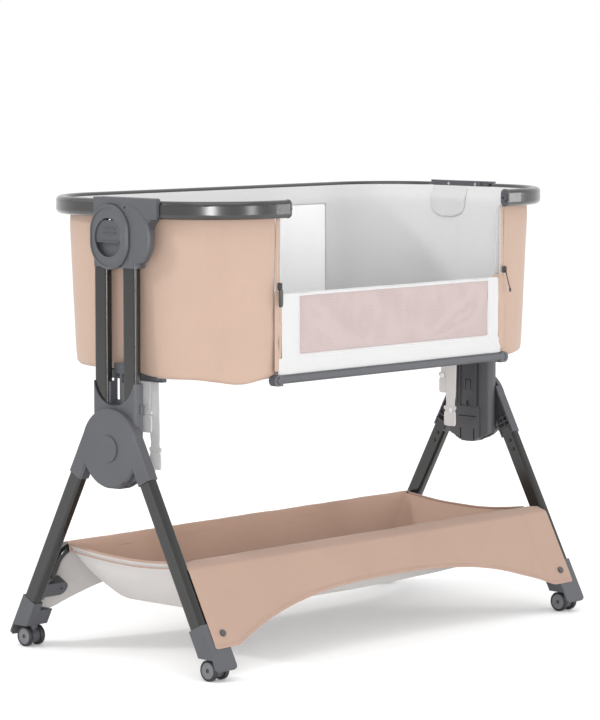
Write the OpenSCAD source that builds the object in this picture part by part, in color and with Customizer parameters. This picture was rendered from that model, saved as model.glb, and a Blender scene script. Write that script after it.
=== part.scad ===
// Bedside bassinet on a wheeled stand, drop side lowered. Millimetres, +Z up.
// Origin: on the floor under the centre. +X runs along the length, the open side faces -Y.
// Each end is drawn once, at -X; the other end is the same part turned half a turn about Z.

/* [Rim] */
// Half length to the middle of the rim tube
rim_a = 438; // [430:1:440]
// Half width to the middle of the rim tube
rim_b = 214.5; // [210:0.5:218]
// Corner radius to the middle of the rim tube
rim_r = 137; // [120:1:150]
// Height of the middle of the rim tube
rim_z = 732.5; // [728:0.5:736]
// Height of the rim tube's section
rim_tall = 29; // [26:1:30]
// Thickness of the rim tube's section
rim_deep = 16; // [14:1:16]
// Half width of the gap in the front of the rim
rim_gap = 269; // [262:1:275]

/* [Uprights] */
// Distance of the uprights from the centre plane
upright_x = 436; // [435:0.5:437]
// Half of the distance between the two uprights of an end
upright_y = 33; // [32:0.5:34]
// Size of an upright's section across the end
upright_w = 30; // [28:1:30]
// Size of an upright's section along the length
upright_d = 14; // [12:1:14]
// Top of the uprights, inside the rim bracket
upright_top = 664; // [655:1:668]
// Bottom of the uprights, inside the sleeve
upright_low = 395; // [390:1:400]

/* [Legs] */
// Slope of the legs from the vertical
leg_tilt = 27.7; // [27:0.1:28.4]
// Distance of the leg's middle line from the centre at floor level
leg_foot_y = 238; // [235:1:241]
// Distance of the leg tubes from the centre plane
leg_x = 447.5; // [447:0.5:448]
// Width of the leg tube, seen from the end
leg_w = 28; // [26:1:28]
// Depth of the leg tube, along the length
leg_d = 17; // [16:1:17]
// Height of the hub's centre
hub_z = 349; // [346:1:352]
// Radius of the hub's round belly
hub_r = 64; // [62:1:65]

/* [Castors] */
// Wheel radius
wheel_r = 17; // [16:0.5:17]
// Thickness of one wheel
wheel_w = 8.5; // [8:0.5:9]
// Distance of the swivel axis from the centre, across the width
swivel_y = 211.5; // [210:0.5:213]
// How far the axle trails the swivel axis
castor_trail = 4; // [2:0.5:4]
// Distance of the castors from the centre plane
castor_x = 434; // [432:0.5:435]

/* [Bassinet] */
// Half length of the fabric body
body_a = 420; // [416:1:422]
// Half width of the fabric body
body_b = 200; // [197:0.5:202]
// Corner radius of the fabric body
body_r = 120; // [110:1:130]
// Thickness of the fabric wall
shell_t = 2.5; // [2:0.1:3]
// Underside of the fabric body
body_low = 471; // [470:1:474]
// Height of the fold where the drop side hangs
fold_z = 598; // [594:1:602]
// Thickness of the mattress
mattress_t = 35; // [25:1:40]

/* [Drop side] */
// Half length of the rail with its end caps
rail_half = 289; // [286:1:291]
// Drop of the rail below the fold
rail_drop = 138; // [136:1:140]
// Height of the rail's section
rail_tall = 14; // [12:1:15]
// Depth of the rail's section
rail_deep = 13; // [11:1:13]

/* [Basket] */
// Height of the basket's upper edge
basket_top = 176; // [172:1:180]
// Height of the basket's floor
basket_low = 84; // [80:1:95]
// Wall thickness of the basket's fabric
basket_t = 2; // [1.5:0.1:2.5]

/* [Hidden] */
$fn = 64;
fit = 0.1;                     // gap between pieces that are assembled and stay still
slide_fit = 0.3;               // gap between pieces that slide on each other
tube_wall = 1.5;
leg_slope = tan(leg_tilt);
leg_rise = cos(leg_tilt);      // height gained for each millimetre along a leg
foot_top = 93;                 // along the leg, where the tube enters the foot
leg_top = 352;                 // along the leg, where the tube ends in the hub
hub_out = 458.5;               // outer face of the hub
hub_in = 439;                  // inner edge of the hub
sleeve_out = 446.5;
sleeve_in = 424.5;
sleeve_low = 283.5;
sleeve_top = 454.5;
sleeve_half = upright_y + upright_w / 2 + 3.5;
dial_z = 687.5;
dial_out = 457;
dial_back = 446.4;
rim_cx = rim_a - rim_r;
rim_cy = rim_b - rim_r;
rim_top = rim_z + rim_tall / 2;
rim_under = rim_z - rim_tall / 2;
body_top = rim_under - 0.5;
rail_y = -199.5;
rail_z = fold_z - rail_drop;
open_half = 272;               // half width of the opening that the drop side closes
lining_t = 2;
floor_z = body_low + 2.5;
board_z = floor_z + 12.3;
mattress_z = board_z + 8;
stretcher_s = 192;             // stretcher tube, along the leg plane
stretcher_x = 424;
wheel_mid = wheel_r;
foot_in = 411;                 // inner face of the feet
foot_under = 36;               // underside of the feet above the castors
strap_x = 386;

// ---- Helpers ----

// Extrudes a shape drawn in the Y-Z plane from x0 to x1
module along_x(x0, x1) {
  translate([x0, 0, 0]) rotate([90, 0, 90]) linear_extrude(x1 - x0) children();
}

// Extrudes a shape drawn in the X-Z plane from y0 to y1
module along_y(y0, y1) {
  translate([0, y1, 0]) rotate([90, 0, 0]) linear_extrude(y1 - y0) children();
}

// Turns a left-end part into the right-end one
module other_end() {
  rotate([0, 0, 180]) children();
}

// Puts a front-side part on the rear side
module rear_side() {
  mirror([0, 1, 0]) children();
}

// Frame of the front legs: local Z climbs along the legs, local -Y faces outward
module leg_frame() {
  translate([0, -leg_foot_y, 0]) rotate([-leg_tilt, 0, 0]) children();
}

// Rectangle with round corners, centred
module round_rect(w, h, r) {
  square([w - 2 * r, h], center = true);
  square([w, h - 2 * r], center = true);
  for (sx = [-1, 1], sy = [-1, 1])
    translate([sx * (w / 2 - r), sy * (h / 2 - r)]) circle(r);
}

// Upright oval with straight sides, centred
module tall_oval(w, h) {
  square([w, h - w], center = true);
  for (s = [-1, 1]) translate([0, s * (h - w) / 2]) circle(w / 2);
}

// ---- Stand: legs, hubs and sleeves ----

module leg_bar(grow) {
  translate([-leg_x, 0, foot_top]) linear_extrude(leg_top - foot_top)
    round_rect(leg_d + 2 * grow, leg_w + 2 * grow, 5 + grow);
}

module leg_tube() {
  color("dimgray") leg_frame() difference() {
    leg_bar(0);
    translate([-leg_x, 0, foot_top - 1]) linear_extrude(leg_top - foot_top + 2)
      round_rect(leg_d - 2 * tube_wall, leg_w - 2 * tube_wall, 3.5);
  }
}

// Plug that fills the end of a leg tube, between s0 and s1 along the leg
module leg_plug(s0, s1) {
  leg_frame() translate([-leg_x, 0, s0]) linear_extrude(s1 - s0)
    round_rect(leg_d - 2 * tube_wall - 2 * fit, leg_w - 2 * tube_wall - 2 * fit, 3.4);
}

// Outline of the hub seen from the end: round belly with a socket along each leg
module hub_outline(grow) {
  translate([0, hub_z]) circle(hub_r + grow);
  for (s = [-1, 1]) intersection() {
    translate([s * leg_foot_y, 0]) rotate(s * leg_tilt) translate([0, 374])
      square([leg_w + 2 + 2 * grow, 70 + 2 * grow], center = true);
    translate([-120, 200]) square([240, 190]);
  }
}

// Bevelled outer edge of the hub
module hub_bevel() {
  b = 3;
  half = leg_w / 2 + 1;
  translate([-hub_out, 0, hub_z]) rotate([0, 90, 0]) cylinder(h = b, r1 = hub_r - b, r2 = hub_r);
  intersection() {
    for (m = [0, 1]) mirror([0, m, 0]) leg_frame() translate([0, 0, 339]) linear_extrude(70)
      polygon([[-hub_out, b - half], [-hub_out, half - b], [b - hub_out, half], [b - hub_out, -half]]);
    translate([-hub_out - 1, -120, 200]) cube([b + 2, 240, 190]);
  }
}

module leg_hub() {
  color("slategray") {
    difference() {
      union() {
        along_x(-hub_out + 3, -hub_in) hub_outline(0);
        hub_bevel();
      }
      along_x(-hub_out + 4, -hub_in + 1) hub_outline(-3);
      along_x(-hub_out - 1, -hub_out + 3) translate([-40, hub_z - 63]) circle(13);
      along_x(-hub_out + 12, -hub_in + 1) translate([-sleeve_half - 1, sleeve_low - 60])
        square([2 * sleeve_half + 2, 200]);
      for (m = [0, 1]) mirror([0, m, 0]) leg_frame() leg_bar(fit);
    }
    for (m = [0, 1]) mirror([0, m, 0]) {
      leg_plug(leg_top - 52, leg_top + 2);
      hub_ribs();
    }
    along_x(-hub_out + 3.9, -sleeve_out - fit) translate([0, hub_z]) circle(14);
  }
}

// Honeycomb of ribs that stiffens a socket on its open inner side
module hub_ribs() {
  leg_frame() {
    for (s = [0 : 2]) translate([-hub_out + 3.9, -14.4, leg_top + 1 + 9 * s])
      cube([18 - 2.2 * s, 28.8, 1.6]);
    for (y = [-9, 0, 9]) translate([-hub_out + 3.9, y - 0.8, leg_top + 1])
      cube([14 - abs(y) * 0.3, 1.6, 22]);
  }
}

module hub_caps() {
  color("gray") for (turn = [0, 180]) rotate([0, 0, turn])
    along_x(-hub_out - 2, -hub_out) translate([0, hub_z]) circle(21);
}

// Round bars of a rivet through the inner wall of each leg tube
module leg_rivets() {
  color("silver") for (turn = [0, 180], m = [0, 1], s = [leg_top - 41, leg_top - 24])
    rotate([0, 0, turn]) mirror([0, m, 0]) leg_frame()
      translate([-leg_x + leg_d / 2, 0, s]) rotate([0, 90, 0]) cylinder(h = 1.6, r = 3.2);
}

module upright_bore(grow, z0, z1) {
  for (s = [-1, 1]) translate([-upright_x, s * upright_y, z0]) linear_extrude(z1 - z0)
    round_rect(upright_d + 2 * grow, upright_w + 2 * grow, 5 + grow);
}

module sleeve() {
  color("slategray") difference() {
    union() {
      translate([-(sleeve_out + sleeve_in) / 2, 0, sleeve_low])
        linear_extrude(sleeve_top - sleeve_low)
          round_rect(sleeve_out - sleeve_in, 2 * sleeve_half, 10.5);
      along_x(-sleeve_in - 4, -sleeve_in) translate([-17, sleeve_top - 20]) square([34, 49]);
      along_x(-sleeve_in - 3, -sleeve_in + 2) translate([-28, sleeve_low]) square([56, 63]);
      for (y = [-19, 19]) translate([-sleeve_in - 3, y - 1.5, 345]) cube([5.5, 3, 88]);
      along_x(-sleeve_out + 9, -sleeve_in - 4) translate([-sleeve_half - 1.6, 406]) square([6, 15]);
    }
    along_x(-sleeve_out - 1, -sleeve_in + 3) sleeve_hem();
    upright_bore(slide_fit, sleeve_low + 4, sleeve_top + 1);
    along_x(-sleeve_out - 1, -upright_x - 3.5) translate([0, sleeve_top + 9.5]) circle(47);
    along_x(-sleeve_out - 1, -sleeve_in - 4) translate([-13.5, 418]) square([27, 80]);
    along_x(-sleeve_in - 5, -sleeve_in + 1) {
      translate([-13, 425]) square([11, 42]);
      translate([4, 425]) square([9, 42]);
    }
    sleeve_back_relief();
  }
}

// What is cut off below the sleeve's wavy lower edge
module sleeve_hem() {
  polygon([[-60, 280], [-60, 302], [-50, 301], [-40, 296], [-28, 291], [-14, 284], [0, 283.4],
    [14, 284], [28, 291], [40, 296], [50, 301], [60, 302], [60, 280]]);
}

// Slots, a catch and a round hole on the sleeve's inner face
module sleeve_back_relief() {
  along_x(-sleeve_in - 3.2, -sleeve_in + 1) for (m = [0, 1]) mirror([m, 0]) {
    translate([21, 350]) square([4, 82]);
    translate([5, 376]) square([1.8, 18]);
  }
  along_x(-sleeve_in - 3.2, -sleeve_in + 1) translate([-6.8, 394]) square([13.6, 1.8]);
  along_x(-sleeve_in - 3.2, -sleeve_in + 3) {
    for (y = [-17, 14]) translate([y, 280]) square([3, 27]);
    translate([-20, 328]) square([40, 1.6]);
  }
  along_x(-sleeve_in - 3.5, -sleeve_in + 1) translate([0, 352]) circle(4.8);
}

// ---- Feet and castors ----

// Side view of a front foot, with its lip in front of the castor
module foot_outline() {
  half = leg_w / 2 + 1.2;
  z_top = foot_top * leg_rise;
  function edge_y(z, side) = -leg_foot_y + leg_slope * z + side * half / leg_rise;
  polygon([
    [edge_y(z_top - half * sin(leg_tilt), 1), z_top - half * sin(leg_tilt)],
    [edge_y(z_top + half * sin(leg_tilt), -1), z_top + half * sin(leg_tilt)],
    [edge_y(22, -1), 22],
    [edge_y(22, -1) + 0.6, 19],
    [edge_y(22, -1) + 2.6, 18],
    [edge_y(22, -1) + 3.6, 20],
    [edge_y(foot_under, -1) + 3.4, foot_under],
    [edge_y(foot_under, 1), foot_under]
  ]);
}

// The foot seen square to its outer face: round lower corners
module foot_front() {
  left = -leg_x - leg_d / 2 - 1;
  r = 8;
  translate([left, 14.2 + r]) square([-foot_in - left, 130]);
  translate([left + r, 14.2]) square([-foot_in - left - 2 * r, 20]);
  for (x = [left + r, -foot_in - r]) translate([x, 14.2 + r]) circle(r);
}

module foot() {
  color("gray") {
    difference() {
      intersection() {
        along_x(-leg_x - leg_d / 2 - 1, -foot_in) foot_outline();
        leg_frame() along_y(-40, 50) foot_front();
      }
      translate([-leg_x + leg_d / 2 + 1, -260, 62]) cube([60, 100, 50]);
      translate([-castor_x, -swivel_y, foot_under - 1]) cylinder(h = 22, r = 5.1);
    }
    leg_plug(foot_top - 2, foot_top + 40);
  }
}

// Swivel body: stem, bridge and the disc between the wheels
module castor_body() {
  color("dimgray") translate([-castor_x, -swivel_y, 0]) difference() {
    union() {
      translate([0, 0, wheel_mid + 6]) cylinder(h = 57 - wheel_mid - 6, r = 5);
      translate([0, 0, foot_under - 6]) cylinder(h = 5.4, r = 8);
      translate([0, -castor_trail, wheel_mid]) rotate([0, 90, 0])
        cylinder(h = 14.4, r = 12.5, center = true);
    }
    translate([0, -castor_trail, wheel_mid]) rotate([0, 90, 0])
      cylinder(h = 20, r = 2.55, center = true);
  }
}

// A pair of wheels pressed on one axle
module castor_wheels() {
  color("black") translate([-castor_x, -swivel_y - castor_trail, wheel_mid]) rotate([0, 90, 0]) {
    cylinder(h = 26, r = 2.5, center = true);
    for (s = [-1, 1]) translate([0, 0, s * (8.4 + wheel_w / 2)]) wheel();
  }
}

// Wheel with dished sides and a small pit over the axle
module wheel() {
  h = wheel_w / 2;
  half = [[wheel_r, h - 1.5], [wheel_r - 1.5, h], [wheel_r - 3.6, h], [wheel_r - 4.4, h - 0.8],
    [3.4, h - 0.8], [3.4, h - 1.8], [0, h - 1.8]];
  rotate_extrude() polygon(concat(
    [for (i = [0 : len(half) - 1]) half[i]],
    [for (i = [len(half) - 1 : -1 : 0]) [half[i][0], -half[i][1]]]));
}

// ---- Stretchers and basket ----

// Cross tube with both ends bent down into brackets on the legs
module stretcher() {
  bend = 28;
  r = 7;
  color("dimgray") leg_frame() {
    translate([-stretcher_x + bend, 0, stretcher_s]) rotate([0, 90, 0])
      cylinder(h = 2 * (stretcher_x - bend), r = r);
    for (s = [0, 1]) mirror([s, 0, 0]) {
      translate([-stretcher_x + bend, 0, stretcher_s - bend]) rotate([90, 0, 0])
        rotate([0, 0, 90]) rotate_extrude(angle = 90) translate([bend, 0]) circle(r);
      translate([-stretcher_x, 0, 112]) cylinder(h = stretcher_s - bend - 112, r = r);
    }
  }
}

module stretcher_brackets() {
  color("slategray") for (turn = [0, 180], m = [0, 1])
    rotate([0, 0, turn]) mirror([0, m, 0]) leg_frame() difference() {
      union() {
        translate([-leg_x + leg_d / 2, -10, 100]) cube([38, 20, 26]);
        translate([-leg_x + leg_d / 2 + 38, 0, 113]) rotate([90, 0, 0])
          cylinder(h = 20, r = 13, center = true);
        translate([-leg_x + leg_d / 2, -8, 94]) cube([8, 16, 42]);
      }
      translate([-stretcher_x, 0, 108]) cylinder(h = 30, r = 7 + fit);
      translate([-leg_x + leg_d / 2 + 38, 0, 113]) rotate([90, 0, 0]) cylinder(h = 30, r = 2.2, center = true);
    }
}

// Trough with sloping walls between two heights
module trough(a0, b0, a1, b1, z0, z1) {
  translate([0, 0, z0]) linear_extrude(z1 - z0, scale = [a1 / a0, b1 / b0], slices = 1)
    square([2 * a0, 2 * b0], center = true);
}

// Flap that hangs in the plane of the legs, its lower edge arched up
module basket_flap() {
  s_top = (basket_top + 3.6) / leg_rise - 9.2;
  function arch_s(x) = 50 + 69 * (1 - pow(min(abs(x) / 392, 1), 2.6));
  arch = [for (i = [-12 : 12]) [i / 12 * 444, arch_s(i / 12 * 444)]];
  leg_frame() translate([0, -leg_w / 2 - 1.6, 0]) rotate([90, 0, 0]) linear_extrude(basket_t)
    polygon(concat([[444, s_top], [-444, s_top]], arch));
}

module basket() {
  top_b = 134;
  color("rosybrown") {
    difference() {
      trough(360, 88, 420, top_b, basket_low, basket_top + 3.6);
      trough(360 - basket_t, 88 - basket_t, 420 - basket_t, top_b - basket_t,
        basket_low + basket_t, basket_top + 3.7);
    }
    for (m = [0, 1]) mirror([0, m, 0]) {
      basket_flap();
      translate([-420, -165.5, basket_top + 1.6]) cube([840, 32.5, basket_t]);
    }
  }
}

module basket_snaps() {
  color("dimgray") for (turn = [0, 180], m = [0, 1])
    rotate([0, 0, turn]) mirror([0, m, 0]) leg_frame()
      translate([-420, -leg_w / 2 - 1.6 - basket_t, 74]) rotate([90, 0, 0])
        cylinder(h = 2, r = 5.5);
}

// ---- Bassinet frame ----

module upright() {
  color("dimgray") translate([-upright_x, -upright_y, upright_low])
    linear_extrude(upright_top - upright_low) difference() {
      round_rect(upright_d, upright_w, 5);
      round_rect(upright_d - 2 * tube_wall, upright_w - 2 * tube_wall, 3.5);
    }
}

// The rim's path, swept with a section that children() draws around the origin
module rim_sweep() {
  for (m = [0, 1]) mirror([m, 0, 0]) {
    along_x(-rim_cx, -rim_gap) translate([-rim_b, rim_z]) children();
    for (s = [-1, 1]) translate([-rim_cx, s * rim_cy, rim_z]) rotate([0, 0, s < 0 ? 180 : 90])
      rotate_extrude(angle = 90) translate([rim_r, 0]) children();
    along_y(-rim_cy, rim_cy) translate([-rim_a, rim_z]) children();
  }
  along_x(-rim_cx, rim_cx) translate([rim_b, rim_z]) children();
}

module rim() {
  color("gray") rim_sweep() difference() {
    tall_oval(rim_deep, rim_tall);
    tall_oval(rim_deep - 2 * tube_wall, rim_tall - 2 * tube_wall);
  }
}

// Plug with a flange and a small boss in each open end of the rim
module rim_end_caps() {
  color("slategray") for (m = [0, 1]) mirror([m, 0, 0]) {
    along_x(-rim_gap - 14, -rim_gap) translate([-rim_b, rim_z])
      tall_oval(rim_deep - 2 * tube_wall - 2 * fit, rim_tall - 2 * tube_wall - 2 * fit);
    along_x(-rim_gap, -rim_gap + 2.5) translate([-rim_b, rim_z])
      tall_oval(rim_deep + 1, rim_tall + 1);
    translate([-rim_gap + 2.5, -rim_b, rim_z]) rotate([0, 90, 0]) difference() {
      cylinder(h = 3.5, r = 6);
      translate([0, 0, 1]) cylinder(h = 4, r = 2.5);
    }
  }
}

// Outline of the rim bracket seen from the end: rim clamp above, upright sockets below
module bracket_outline() {
  polygon(concat(
    [[41, rim_top + 3], [-104, rim_top + 3], [-104, rim_under + 3]],
    [for (t = [0 : 15 : 90]) [-104 + 28 * sin(t), rim_under + 3 - 28 * (1 - cos(t))]],
    [for (t = [0 : 15 : 60]) [-35 - 41 * cos(t), 684 - 41 * sin(t)]],
    [[-55, 639], [41, 639]]));
}

// Round boss that carries the dial, with a sloping edge
module bracket_boss() {
  intersection() {
    union() {
      translate([-447.9, -34, dial_z]) rotate([0, 90, 0]) cylinder(h = 9, r = 54);
      translate([-450.9, -34, dial_z]) rotate([0, 90, 0]) cylinder(h = 3.1, r1 = 51, r2 = 54);
    }
    along_x(-460, -430) polygon([[60, 639], [-53, 639], [-53, 647], [-100, 652], [-100, 760], [60, 760]]);
  }
}

module rim_bracket() {
  color("slategray") difference() {
    union() {
      along_x(-441, -427.5) intersection() {
        bracket_outline();
        translate([-87, 600]) square([140, 160]);
      }
      along_x(-448, -440.9) bracket_outline();
      bracket_boss();
      translate([-440.6, -upright_y - 13, 639]) {
        cylinder(h = 16, r = 11.6);
        translate([0, 0, 16]) cylinder(h = 27, r1 = 11.6, r2 = 9);
      }
      along_x(-427.6, -425.2) translate([-65, rim_top - 8]) square([91, 11]);
      along_x(-449.2, -447.9) translate([-104, rim_under]) square([145, rim_tall + 3]);
    }
    rim_sweep() tall_oval(rim_deep + 2 * fit, rim_tall + 2 * fit);
    upright_bore(fit, 600, upright_top + fit);
    along_x(-458, -dial_back + fit) dial_outline(44.6, 0);
    translate([-452, -33, dial_z + 47.5]) rotate([0, 90, 0]) cylinder(h = 4, r = 2);
    for (y = [-50, 12]) translate([-424, y, rim_top - 2]) rotate([0, -90, 0]) cylinder(h = 3, r = 3.5);
  }
}

// Oval outline of the dial
module dial_outline(r, grow) {
  translate([0, dial_z]) tall_oval(2 * (r + grow), 2 * (r + grow + 8));
}

// D-shaped finger window of the dial
module d_window(r) {
  intersection() {
    translate([0, dial_z - 1]) circle(r);
    translate([4 - r, dial_z - 60]) square([2 * r, 120]);
  }
}

// Oval ring whose outer edge slopes from r0 at its face to r1
module dial_bevel(r0, r1, depth) {
  for (s = [-8, 8]) translate([-dial_out, 0, dial_z + s]) rotate([0, 90, 0])
    cylinder(h = depth, r1 = r0, r2 = r1);
  translate([-dial_out, 0, dial_z - 8]) linear_extrude(16)
    polygon([[0, -r0], [0, r0], [depth, r1], [depth, -r1]]);
}

module dial() {
  color("gray") difference() {
    union() {
      along_x(-dial_out + 3, -dial_back) dial_outline(44, 0);
      dial_bevel(41, 44, 3);
    }
    along_x(-dial_out - 1, -dial_out + 1) dial_outline(38.5, 0);
    along_x(-dial_out - 1, -dial_back + 1) d_window(31);
    along_x(-dial_out + 3, -dial_back + 1) dial_outline(36, 0);
  }
}

// Sprung finger lever behind the dial's window
module release_lever() {
  color("dimgray") {
    along_x(-dial_out + 3.3, -dial_out + 6.5) intersection() {
      d_window(33);
      translate([-40, dial_z - 9]) square([80, 35.5]);
    }
    along_x(-dial_out + 1.9, -dial_out + 3.4) {
      translate([-24, dial_z - 9]) square([49, 2.4]);
      translate([-16, dial_z + 5]) square([31, 1.4]);
      translate([-14, dial_z + 13]) square([27, 1.4]);
    }
  }
}

module lever_spring() {
  turns = 4;
  pitch = 3.6;
  color("silver") for (i = [0 : turns - 1])
    translate([-dial_out + 5.6, 0, dial_z + 26.7 + pitch * i]) difference() {
      cylinder(h = pitch * 0.5, r = 2.2);
      translate([0, 0, -1]) cylinder(h = pitch, r = 1.4);
    }
}

// Screws in the inner recesses of the rim brackets
module bracket_screws() {
  color("silver") for (turn = [0, 180], y = [-50, 12])
    rotate([0, 0, turn]) translate([-426, y, rim_top - 2]) rotate([0, -90, 0]) cylinder(h = 1, r = 3);
}

// Yoke under each end of the bassinet that carries the bottom frame
module bottom_brackets() {
  color("slategray") for (turn = [0, 180]) rotate([0, 0, turn]) difference() {
    union() {
      translate([-412, -64, body_low - 12]) cube([22, 128, 11.5]);
      translate([-400, -64, body_low - 16]) cube([10, 128, 5]);
    }
    for (y = [-40, 0, 40]) translate([-410, y - 14, body_low - 9]) cube([8, 28, 20]);
    translate([-strap_x - 8, -49, body_low - 20]) cube([10, 54, 10.5]);
  }
}

// Bent tube ring under the base board
module bottom_frame() {
  a = 376;
  b = 156;
  r = 60;
  z = floor_z + 6;
  color("dimgray") for (m = [0, 1]) mirror([m, 0, 0]) {
    for (s = [-1, 1]) {
      translate([-a + r, s * (b - r), z]) rotate([0, 0, s < 0 ? 180 : 90])
        rotate_extrude(angle = 90) translate([r, 0]) circle(5.8);
      translate([-a + r, s * b, z]) rotate([0, 90, 0]) cylinder(h = a - r, r = 5.8);
    }
    translate([-a, -b + r, z]) rotate([-90, 0, 0]) cylinder(h = 2 * (b - r), r = 5.8);
  }
}

module base_board() {
  color("burlywood") translate([0, 0, board_z]) linear_extrude(5)
    round_rect(2 * 398, 2 * 176, 100);
}

// ---- Soft parts ----

// Outline of the fabric body, set back in front where the drop side hangs
module body_outline(inset, front) {
  difference() {
    round_rect(2 * (body_a - inset), 2 * (body_b - inset), body_r - inset);
    translate([-rail_half - 3 - inset, -body_b - 1])
      square([2 * (rail_half + 3 + inset), body_b + 1 - front]);
  }
}

module fabric_shell() {
  color("peachpuff") difference() {
    union() {
      translate([0, 0, body_low]) linear_extrude(fold_z - body_low) body_outline(0, 195);
      translate([0, 0, fold_z - 10]) linear_extrude(body_top - fold_z + 10) difference() {
        round_rect(2 * body_a, 2 * body_b, body_r);
        translate([-open_half, -body_b - 1]) square([2 * open_half, 100]);
      }
    }
    translate([0, 0, body_low + 2]) linear_extrude(300) body_outline(shell_t, 195 - shell_t);
    translate([-rail_half - 3, -body_b - 1, fold_z - 11]) cube([2 * rail_half + 6, 6, 14]);
  }
}

module lining() {
  low = board_z + 5.3;
  color("whitesmoke") difference() {
    translate([0, 0, low]) linear_extrude(rim_top - 1 - low) body_outline(4.5, 189.5);
    translate([0, 0, low + lining_t]) linear_extrude(300) body_outline(4.5 + lining_t, 189.5 - lining_t);
    translate([-open_half, -230, fold_z - 6]) cube([2 * open_half, 80, 200]);
  }
}

module mattress() {
  color("white") translate([0, 0, mattress_z]) linear_extrude(mattress_t)
    round_rect(2 * 398, 2 * 177, 104);
}

// Zip tapes along both edges of the opening
module zip_tracks() {
  color("peachpuff") for (m = [0, 1]) mirror([m, 0, 0])
    translate([-open_half - 9, -204.4, fold_z + 4]) cube([8, 1.6, body_top - fold_z - 8]);
}

// Slider with a hanging tab
module zip_pull() {
  color("black") {
    translate([-open_half - 8, -207.6, fold_z + 6]) cube([6, 2.9, 11]);
    translate([-open_half - 7, -208.6, fold_z - 22]) cube([4, 1.8, 34]);
  }
}

module drop_rail() {
  color("slategray") translate([-rail_half + 20, 0, 0]) along_x(0, 2 * (rail_half - 20))
    translate([rail_y, rail_z]) round_rect(rail_deep, rail_tall, 4);
}

// End caps of the rail, each with a slot that catches the rim's end
module drop_rail_caps() {
  color("slategray") for (m = [0, 1]) mirror([m, 0, 0]) difference() {
    union() {
      along_y(rail_y - rail_deep / 2, rail_y + rail_deep / 2)
        translate([-rail_half + 9, rail_z - 1]) circle(9);
      translate([-rail_half + 9, rail_y - rail_deep / 2, rail_z - 10]) cube([11, rail_deep, 17]);
    }
    along_y(rail_y - rail_deep / 2 - 1, rail_y - rail_deep / 2 + 2.5)
      translate([-rail_half + 12, rail_z - 1]) difference() {
        circle(6);
        circle(4.6);
        translate([0, -10]) square([10, 20]);
      }
  }
}

// Cloth panel of the drop side, from the fold down to the rail
module drop_panel() {
  color("white") translate([-open_half + 6, -201.4, rail_z + rail_tall / 2])
    cube([2 * open_half - 12, 2.6, rail_drop - rail_tall / 2 - 2]);
}

// Long and short webbing straps that hang from a bottom bracket, each centred on its own Y
module bed_straps(long_y, short_y) {
  color("white") {
    translate([-strap_x - 5, long_y - 12.5, 312]) cube([1.6, 25, body_low - 10.4 - 312]);
    translate([-strap_x - 7.5, short_y - 12.5, 371]) cube([1.6, 25, body_low - 10.4 - 371]);
  }
}

module strap_snaps() {
  color("silver") for (turn = [0, 180]) rotate([0, 0, turn]) {
    translate([-strap_x - 3.4, turn == 0 ? -35 : -9, 341]) rotate([0, 90, 0]) cylinder(h = 1.8, r = 4.5);
    translate([-strap_x - 5.9, turn == 0 ? -12 : -31, 402]) rotate([0, 90, 0]) cylinder(h = 1.8, r = 4.5);
  }
}

// ---- Nodes ----

leg_hub();  // left_leg_hub
other_end() leg_hub();  // right_leg_hub
hub_caps();
sleeve();  // left_sleeve
other_end() sleeve();  // right_sleeve
leg_tube();  // left_front_leg
rear_side() leg_tube();  // left_rear_leg
other_end() rear_side() leg_tube();  // right_front_leg
other_end() leg_tube();  // right_rear_leg
leg_rivets();
foot();  // left_front_foot
rear_side() foot();  // left_rear_foot
other_end() rear_side() foot();  // right_front_foot
other_end() foot();  // right_rear_foot
castor_body();  // left_front_castor
rear_side() castor_body();  // left_rear_castor
other_end() rear_side() castor_body();  // right_front_castor
other_end() castor_body();  // right_rear_castor
castor_wheels();  // left_front_wheels
rear_side() castor_wheels();  // left_rear_wheels
other_end() rear_side() castor_wheels();  // right_front_wheels
other_end() castor_wheels();  // right_rear_wheels
stretcher();  // front_stretcher
rear_side() stretcher();  // rear_stretcher
stretcher_brackets();
basket();
basket_snaps();
upright();  // left_front_upright
rear_side() upright();  // left_rear_upright
other_end() rear_side() upright();  // right_front_upright
other_end() upright();  // right_rear_upright
rim_bracket();  // left_rim_bracket
other_end() rim_bracket();  // right_rim_bracket
dial();  // left_dial
other_end() dial();  // right_dial
release_lever();  // left_release_lever
other_end() release_lever();  // right_release_lever
lever_spring();  // left_lever_spring
other_end() lever_spring();  // right_lever_spring
bracket_screws();
rim();
rim_end_caps();
bottom_brackets();
bottom_frame();
base_board();
fabric_shell();
lining();
mattress();
zip_tracks();
zip_pull();  // left_zip_pull
mirror([1, 0, 0]) zip_pull();  // right_zip_pull
drop_rail();
drop_rail_caps();
drop_panel();
bed_straps(-35, -18);  // left_bed_straps
other_end() bed_straps(-9, -26);  // right_bed_straps
strap_snaps();
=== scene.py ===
"""Bassinet on a wheeled stand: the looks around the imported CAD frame. Metres, +Z up, open side at -Y."""
import math

import bmesh
import bpy
import numpy as np
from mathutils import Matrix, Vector, noise


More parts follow.
